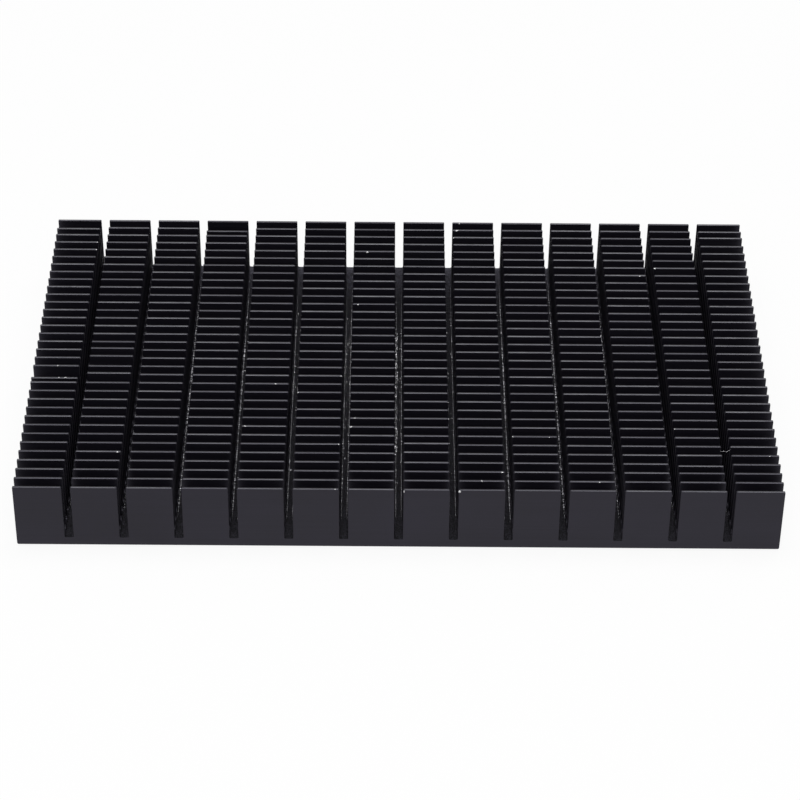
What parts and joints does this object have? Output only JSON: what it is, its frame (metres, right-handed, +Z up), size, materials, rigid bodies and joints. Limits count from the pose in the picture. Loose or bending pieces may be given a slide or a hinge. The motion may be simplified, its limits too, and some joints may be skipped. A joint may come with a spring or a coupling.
{
  "type": "heat sink",
  "caption": "Flat black anodised aluminium heat sink: an extruded comb of thin fins on a plain base, cross-cut by saw into rows of short blades to cool electronics.",
  "frame": {"origin": "centre of the flat underside, at the bottom of the bounding box", "axes": "+X along the fins, which is the long way; +Y across the fins, from the front to the back; +Z up from the underside to the fin tips"},
  "size_m": [0.15, 0.093, 0.0145],
  "materials": {
    "black_anodised_aluminium": "black anodised, satin"
  },
  "bodies": {
    "root": {"heat_sink": "black_anodised_aluminium"}
  },
  "joints": []
}
